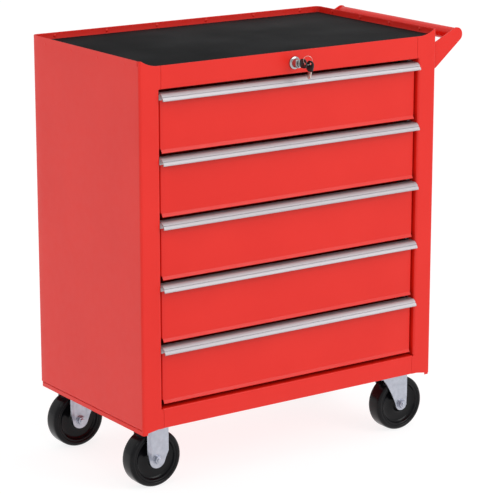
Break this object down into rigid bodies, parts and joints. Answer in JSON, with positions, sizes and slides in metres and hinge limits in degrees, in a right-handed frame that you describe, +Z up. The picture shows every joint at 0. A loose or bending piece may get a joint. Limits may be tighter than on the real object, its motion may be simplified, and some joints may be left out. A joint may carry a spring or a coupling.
{
  "type": "tool cart",
  "caption": "Steel tool cart with a column of drawers, full-width aluminium pulls, a matted top tray, a central lock, a side push handle, and fixed and swivel casters.",
  "frame": {"origin": "on the floor under the middle of the box that holds the whole cart with its handle and keys", "axes": "+Z up, -Y the way the drawers open, +X towards the side with the handle"},
  "size_m": [0.6784, 0.3864, 0.734],
  "materials": {
    "red_paint": "smooth semi-gloss red powder coat on sheet steel",
    "black_mat": "matt black ribbed rubber mat",
    "pull_aluminium": "satin anodised aluminium extrusion",
    "zinc": "bright zinc plated steel",
    "lock_chrome": "polished chrome plate",
    "key_nickel": "nickel plated key blade and spring wire ring",
    "key_plastic": "black moulded plastic key bow",
    "wheel_black": "glossy black moulded wheel"
  },
  "bodies": {
    "cabinet": {"left_side_panel": "red_paint", "right_side_panel": "red_paint", "back_panel": "red_paint", "base_pan": "red_paint", "top_tray": "red_paint", "top_mat": "black_mat", "top_front_rail": "red_paint", "bottom_front_rail": "red_paint", "rear_uprights": "red_paint", "rim_rivets": "red_paint", "slide_channels": "zinc", "handle_bar": "red_paint", "handle_bracket_front": "red_paint", "handle_bracket_rear": "red_paint", "handle_screws": "zinc", "lock_housing": "lock_chrome", "lock_nut": "zinc", "lock_bar_guides": "zinc", "fixed_fork_front": "zinc", "fixed_fork_rear": "zinc", "fixed_axles": "zinc", "caster_bolts": "zinc", "swivel_plate_front": "zinc", "swivel_plate_rear": "zinc"},
    "lock": {"lock_plug": "lock_chrome", "lock_shaft": "zinc", "key_blade": "key_nickel", "key_bow": "key_plastic"},
    "spare_keys": {"key_ring": "key_nickel", "spare_key_blade": "key_nickel", "spare_key_bow": "key_plastic"},
    "locking_bar": {"lock_bar": "zinc"},
    "swivel_front": {"swivel_fork_front": "zinc", "swivel_axle_front": "zinc"},
    "rolling_front": {"swivel_wheel_front": "wheel_black"},
    "fixed_front": {"fixed_wheel_front": "wheel_black"},
    "swivel_rear": {"swivel_fork_rear": "zinc", "swivel_axle_rear": "zinc"},
    "rolling_rear": {"swivel_wheel_rear": "wheel_black"},
    "fixed_rear": {"fixed_wheel_rear": "wheel_black"},
    "drawer_1": {"drawer_box_1": "red_paint", "drawer_front_1": "red_paint", "drawer_pull_1": "pull_aluminium", "slide_runners_1": "zinc"},
    "drawer_2": {"drawer_box_2": "red_paint", "drawer_front_2": "red_paint", "drawer_pull_2": "pull_aluminium", "slide_runners_2": "zinc"},
    "drawer_3": {"drawer_box_3": "red_paint", "drawer_front_3": "red_paint", "drawer_pull_3": "pull_aluminium", "slide_runners_3": "zinc"},
    "drawer_4": {"drawer_box_4": "red_paint", "drawer_front_4": "red_paint", "drawer_pull_4": "pull_aluminium", "slide_runners_4": "zinc"},
    "drawer_5": {"drawer_box_5": "red_paint", "drawer_front_5": "red_paint", "drawer_pull_5": "pull_aluminium", "slide_runners_5": "zinc"}
  },
  "joints": [
    {"name": "drawer_1_slide", "type": "slide", "parent": "cabinet", "child": "drawer_1", "axis": [0, -1, 0], "range_m": [0, 0.225]},
    {"name": "drawer_2_slide", "type": "slide", "parent": "cabinet", "child": "drawer_2", "axis": [0, -1, 0], "range_m": [0, 0.225]},
    {"name": "drawer_3_slide", "type": "slide", "parent": "cabinet", "child": "drawer_3", "axis": [0, -1, 0], "range_m": [0, 0.225]},
    {"name": "drawer_4_slide", "type": "slide", "parent": "cabinet", "child": "drawer_4", "axis": [0, -1, 0], "range_m": [0, 0.225]},
    {"name": "drawer_5_slide", "type": "slide", "parent": "cabinet", "child": "drawer_5", "axis": [0, -1, 0], "range_m": [0, 0.225]},
    {"name": "fixed_front_spin", "type": "hinge", "parent": "cabinet", "child": "fixed_front", "pos_m": [-0.28925, -0.10546, 0.05], "axis": [0, 1, 0], "continuous": true},
    {"name": "swivel_front_turn", "type": "hinge", "parent": "cabinet", "child": "swivel_front", "pos_m": [0.20475, -0.10546, 0.106], "axis": [0, 0, 1], "continuous": true},
    {"name": "swivel_front_spin", "type": "hinge", "parent": "swivel_front", "child": "rolling_front", "pos_m": [0.23475, -0.10546, 0.05], "axis": [0, 1, 0], "continuous": true},
    {"name": "fixed_rear_spin", "type": "hinge", "parent": "cabinet", "child": "fixed_rear", "pos_m": [-0.28925, 0.14754, 0.05], "axis": [0, 1, 0], "continuous": true},
    {"name": "swivel_rear_turn", "type": "hinge", "parent": "cabinet", "child": "swivel_rear", "pos_m": [0.20475, 0.14754, 0.106], "axis": [0, 0, 1], "continuous": true},
    {"name": "swivel_rear_spin", "type": "hinge", "parent": "swivel_rear", "child": "rolling_rear", "pos_m": [0.23475, 0.14754, 0.05], "axis": [0, 1, 0], "continuous": true},
    {"name": "lock_turn", "type": "hinge", "parent": "cabinet", "child": "lock", "pos_m": [-0.02825, -0.15146, 0.7035], "axis": [0, 1, 0], "range_deg": [0, 90]},
    {"name": "lock_bar_slide", "type": "slide", "parent": "cabinet", "child": "locking_bar", "axis": [0, 0, -1], "range_m": [0, 0.01]},
    {"name": "key_ring_swing", "type": "hinge", "parent": "lock", "child": "spare_keys", "pos_m": [-0.02825, -0.18146, 0.7055], "axis": [0.6943, -0.3237, -0.6428], "range_deg": [-8, 8]}
  ],
  "couplings": [
    {"joint": "lock_turn", "follows": "lock_bar_slide", "rad_per_m": 157.08}
  ]
}
